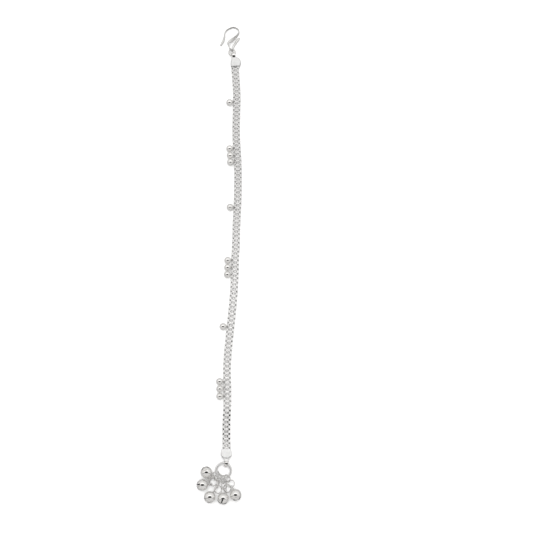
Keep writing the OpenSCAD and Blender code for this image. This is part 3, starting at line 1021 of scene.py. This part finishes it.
# the groove is painted this much darker, as painted shade in the crease
GROOVE_SHADE = 0.55
NEAR = 0.02


def mark_rim(mesh, at_mouth, groove):
    """Note how much painted shade darkens each point: its edges by how far they have turned from
    lying flat, the groove all over, and the mouth not at all."""
    line = smooth_line(groove) if groove else []
    to_mouth = at_mouth.inverted()
    rim = mesh.attributes.new("rim", "FLOAT", "POINT")
    for point, normal, note in zip(mesh.vertices, mesh.vertex_normals, rim.data):
        place = point.co / MM
        off = to_mouth @ place
        in_mouth = (off.x > -POCKET_DEEP - NEAR and abs(off.y) < POCKET_W / 2 + NEAR
                    and abs(off.z - CAP_H / 2) < CAP_H / 2 - POCKET_FLOOR + NEAR)
        turned = min(max((RIM_STARTS - normal.vector.z) / RIM_STARTS, 0.0), 1.0)
        if in_mouth:
            note.value = 0.0
        elif any((place - p).length < GROOVE_R + 0.03 for p in line):
            note.value = GROOVE_SHADE
        else:
            note.value = turned * (RIM_SHADE - RIM_SIDE * normal.vector.x)


def blacken_pit(mesh, pit, finish):
    """Paint the hollow at the foot of the eye black, as painted shade, and give the rest its own
    finish.
    """
    def in_pit(face):
        off = face.center / MM - Vector(pit)
        share = Vector([d / half for d, half in zip(off, PIT_HALF)]).length
        return share < 1 + NEAR and face.normal.dot(off) < 0

    paint_faces(mesh, (finish, painted_shade_silver), in_pit)


# %% Make both caps
for node, cap in CAPS.items():
    back = (Vector(cap["mouth"]) - Vector(cap["disc"])).normalized()
    mouth_turn = Matrix.Rotation(math.atan2(back.y, back.x), 4, "Z")
    at_mouth = Matrix.Translation((*cap["mouth"], 0)) @ mouth_turn
    eye_parts = barrel(cap)
    pit = merged("pit", lump(cap["pit"], PIT_HALF, 24))
    pocket = block(-POCKET_DEEP, 1.5, -POCKET_W / 2, POCKET_W / 2,
                   POCKET_FLOOR, CAP_H - POCKET_FLOOR)
    bore = lathe([(0, -3), (BARREL_BORE + 0.1, -3), (BARREL_BORE + 0.1, 3), (0, 3)], 48)
    cutters = [merged("pocket", (*pocket, at_mouth)), merged("bore", (*bore, eye_parts[2])), pit]
    if cap["groove"]:
        cutters.append(groove_cutter(cap["groove"]))
    plate = cut_away(cast_plate(node + "_plate", cap), cutters)
    soften(plate, 35)
    mark_rim(plate, at_mouth, cap["groove"])
    blacken_pit(plate, cap["pit"], cap["finish"])
    put(node + "_plate", plate, cap["finish"], "satin_silver", node)

    eye = cut_away(merged(node + "_eye", eye_parts), [pit])
    soften(eye, 50)
    blacken_pit(eye, cap["pit"], eye_silver)
    put(node + "_eye", eye, eye_silver, "satin_silver")

    solder = merged(node + "_solder", lump(SOLDER_AT, SOLDER_HALF, 32, at_mouth))
    soften(solder, 60)
    put(node + "_solder", solder, cap["finish"], "satin_silver")
    print(node, "plate:", triangles(plate), "triangles, eye:", triangles(eye))


# %% [markdown]
# ## Hook
# The hook is one piece of wire, hammered flat and bent with pliers. It stands on edge round its
# bight and twists to lie broad side up along the arm. A table gives the strip's way, its width
# and how far it leans, and a rounded section is carried along it. The hammered blades at the tip
# and at the foot are paler on their broad faces.

# %% Bend the hook
# columns: x, y, z, width of the strip, lean of the strip from upright
HOOK_WAY = [
    (-1.5, 133.9, 1.0, 1.2, 45), (-0.5, 136.0, 1.0, 1.8, 50), (0.3, 137.9, 1.0, 1.9, 40),
    (0.8, 140.5, 0.9, 1.7, 15), (1.1, 142.6, 0.85, 1.6, 3), (2.2, 144.3, 0.85, 1.6, 0),
    (4.0, 145.5, 0.85, 1.6, 0), (6.4, 146.3, 0.85, 1.6, 0), (8.1, 145.8, 0.85, 1.6, 0),
    (9.4, 144.8, 0.85, 1.6, 0), (9.9, 143.3, 0.9, 1.7, 0), (9.6, 141.9, 1.0, 1.8, 5),
    (8.6, 140.4, 1.3, 1.9, 18), (6.9, 138.4, 1.8, 2.1, 45), (4.9, 136.6, 2.4, 2.2, 70),
    (3.5, 135.4, 2.8, 1.5, 72), (3.3, 134.2, 2.9, 1.0, 65), (3.8, 132.8, 3.1, 0.9, 80),
    (4.3, 131.3, 3.2, 0.8, 85), (5.0, 130.4, 2.7, 0.8, 85), (5.6, 130.0, 2.0, 0.8, 85),
    (6.0, 130.4, 1.3, 0.8, 85), (6.1, 131.3, 0.8, 0.9, 85), (6.3, 132.8, 0.8, 1.2, 72),
    (7.2, 134.8, 0.8, 1.6, 62), (8.8, 137.2, 0.9, 1.8, 60), (10.2, 139.1, 0.9, 1.5, 58),
]
HOOK_T, HOOK_ROUND, HOOK_TAPER = 0.6, 0.22, 0.72
HOOK_STEPS = 8
# points round the section, and which of its sides are the broad ones
SECTION_POINTS, BROAD_SIDES = 16, (3, 11)
# rows of the table where the blade at the tip ends and the blade at the foot starts
TIP_BLADE, FOOT_BLADE = 2.6, 22.8


def hook_sections():
    """A rounded section square to the way at every step, a little smaller at both ends."""
    rows = smooth_line(HOOK_WAY, HOOK_STEPS)
    last = len(rows) - 1
    sections = []
    for k, (x, y, z, width, lean_by) in enumerate(rows):
        along = (rows[min(k + 1, last)].xyz - rows[max(k - 1, 0)].xyz).normalized()
        side = along.cross(Vector((0, 0, 1))).normalized()
        upright = side.cross(along)
        lean_by = math.radians(lean_by)
        wide = math.cos(lean_by) * upright + math.sin(lean_by) * side
        thin = along.cross(wide)
        size = HOOK_TAPER if k in (0, last) else 1.0
        w, t, r = width / 2 * size, HOOK_T / 2 * size, HOOK_ROUND
        section = []
        for right, up, first in ((1, 1, 0), (-1, 1, 90), (-1, -1, 180), (1, -1, 270)):
            for step in range(SECTION_POINTS // 4):
                a = math.radians(first + 30 * step)
                section.append(Vector((x, y, z)) + (right * (w - r) + r * math.cos(a)) * wide
                               + (up * (t - r) + r * math.sin(a)) * thin)
        sections.append(section)
    return sections


def on_blade(face):
    span, side = divmod(face.index, SECTION_POINTS)
    at_an_end = span < TIP_BLADE * HOOK_STEPS or span >= FOOT_BLADE * HOOK_STEPS
    return at_an_end and side in BROAD_SIDES


hook_mesh = merged("bent_hook", (*skin(hook_sections()), HERE))
soften(hook_mesh, 50)
paint_faces(hook_mesh, (hook_silver, blade_silver), on_blade)
put("bent_hook", hook_mesh, hook_silver, "bright_silver", "hook")
print("hook:", len(hook_mesh.vertices), "points,", triangles(hook_mesh), "triangles")
